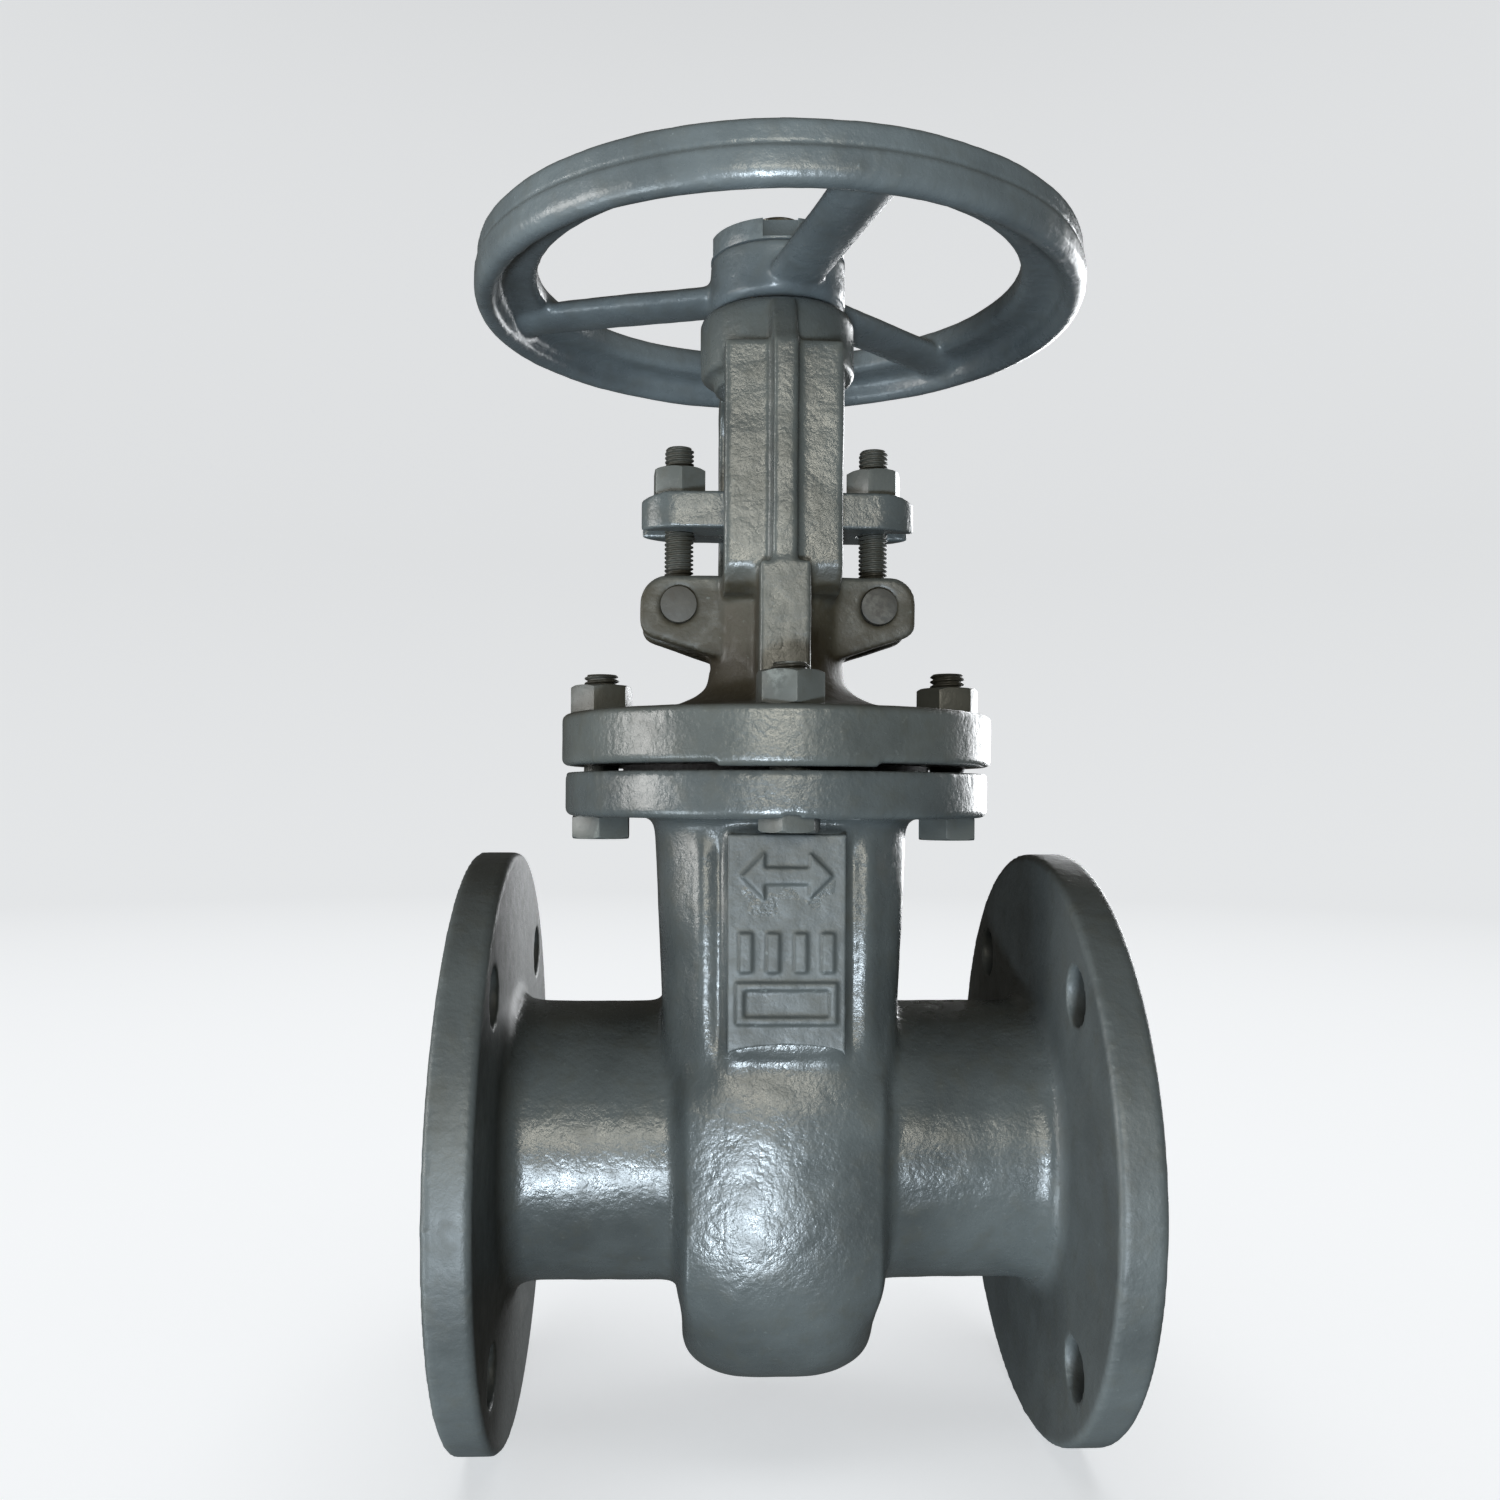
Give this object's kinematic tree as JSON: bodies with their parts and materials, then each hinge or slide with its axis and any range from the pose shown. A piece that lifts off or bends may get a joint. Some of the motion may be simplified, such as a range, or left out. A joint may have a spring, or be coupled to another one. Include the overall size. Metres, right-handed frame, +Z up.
{
  "type": "gate valve",
  "caption": "Flanged rising-stem wedge gate valve with bolted bonnet, outside yoke, swing-bolt gland and round handwheel, shown shut.",
  "frame": {"origin": "centre of the inlet flange's bolt circle, on the flange's outer ring", "axes": "+X along the pipe from inlet to outlet, +Z up along the stem, +Y to the back of the valve"},
  "size_m": [0.21, 0.207, 0.4125],
  "materials": {
    "cast_steel": "grey semi-gloss enamel over a rough sand casting",
    "painted_fastener": "grey enamel over forged and rolled steel, thin on the threads",
    "bare_steel": "oiled steel with a brown tarnish",
    "stem_steel": "greased turned steel",
    "gate_steel": "turned and lapped stainless steel",
    "bronze": "turned bronze, greased",
    "graphite": "pressed graphite"
  },
  "bodies": {
    "housing": {"body": "cast_steel", "seat_ring_inlet": "gate_steel", "seat_ring_outlet": "gate_steel", "bonnet_gasket": "graphite", "bonnet": "cast_steel", "bonnet_bolts": "painted_fastener", "bonnet_nuts": "painted_fastener", "backseat_bush": "gate_steel", "packing_washer": "bare_steel", "packing_ring_1": "graphite", "packing_ring_2": "graphite", "packing_ring_3": "graphite", "packing_ring_4": "graphite", "gland_follower": "bare_steel", "gland_flange": "cast_steel", "hinge_pin_left": "painted_fastener", "hinge_pin_right": "painted_fastener", "split_pin_left": "bare_steel", "split_pin_right": "bare_steel", "stem_nut_retainer": "bare_steel", "retainer_grub_screw": "bare_steel", "thrust_washer_lower": "bronze", "thrust_washer_upper": "bronze"},
    "wheel": {"stem_nut": "bronze", "handwheel": "cast_steel", "wheel_key": "bare_steel", "wheel_locknut": "cast_steel"},
    "stem": {"stem": "stem_steel", "wedge": "gate_steel"},
    "swing_bolt_left": {"eye_bolt_left": "painted_fastener", "gland_nut_left": "painted_fastener"},
    "swing_bolt_right": {"eye_bolt_right": "painted_fastener", "gland_nut_right": "painted_fastener"}
  },
  "joints": [
    {"name": "handwheel_turn", "type": "hinge", "parent": "housing", "child": "wheel", "pos_m": [0.102, 0, 0.29], "axis": [0, 0, 1], "range_deg": [0, 7560]},
    {"name": "stem_lift", "type": "slide", "parent": "housing", "child": "stem", "axis": [0, 0, 1], "range_m": [0, 0.084]},
    {"name": "swing_bolt_left_turn", "type": "hinge", "parent": "housing", "child": "swing_bolt_left", "pos_m": [0.0683, 0, 0.1813], "axis": [0, -1, 0], "range_deg": [0, 90]},
    {"name": "swing_bolt_right_turn", "type": "hinge", "parent": "housing", "child": "swing_bolt_right", "pos_m": [0.1357, 0, 0.1813], "axis": [0, 1, 0], "range_deg": [0, 90]}
  ],
  "couplings": [
    {"joint": "stem_lift", "follows": "handwheel_turn", "m_per_rad": 0.0006366}
  ]
}
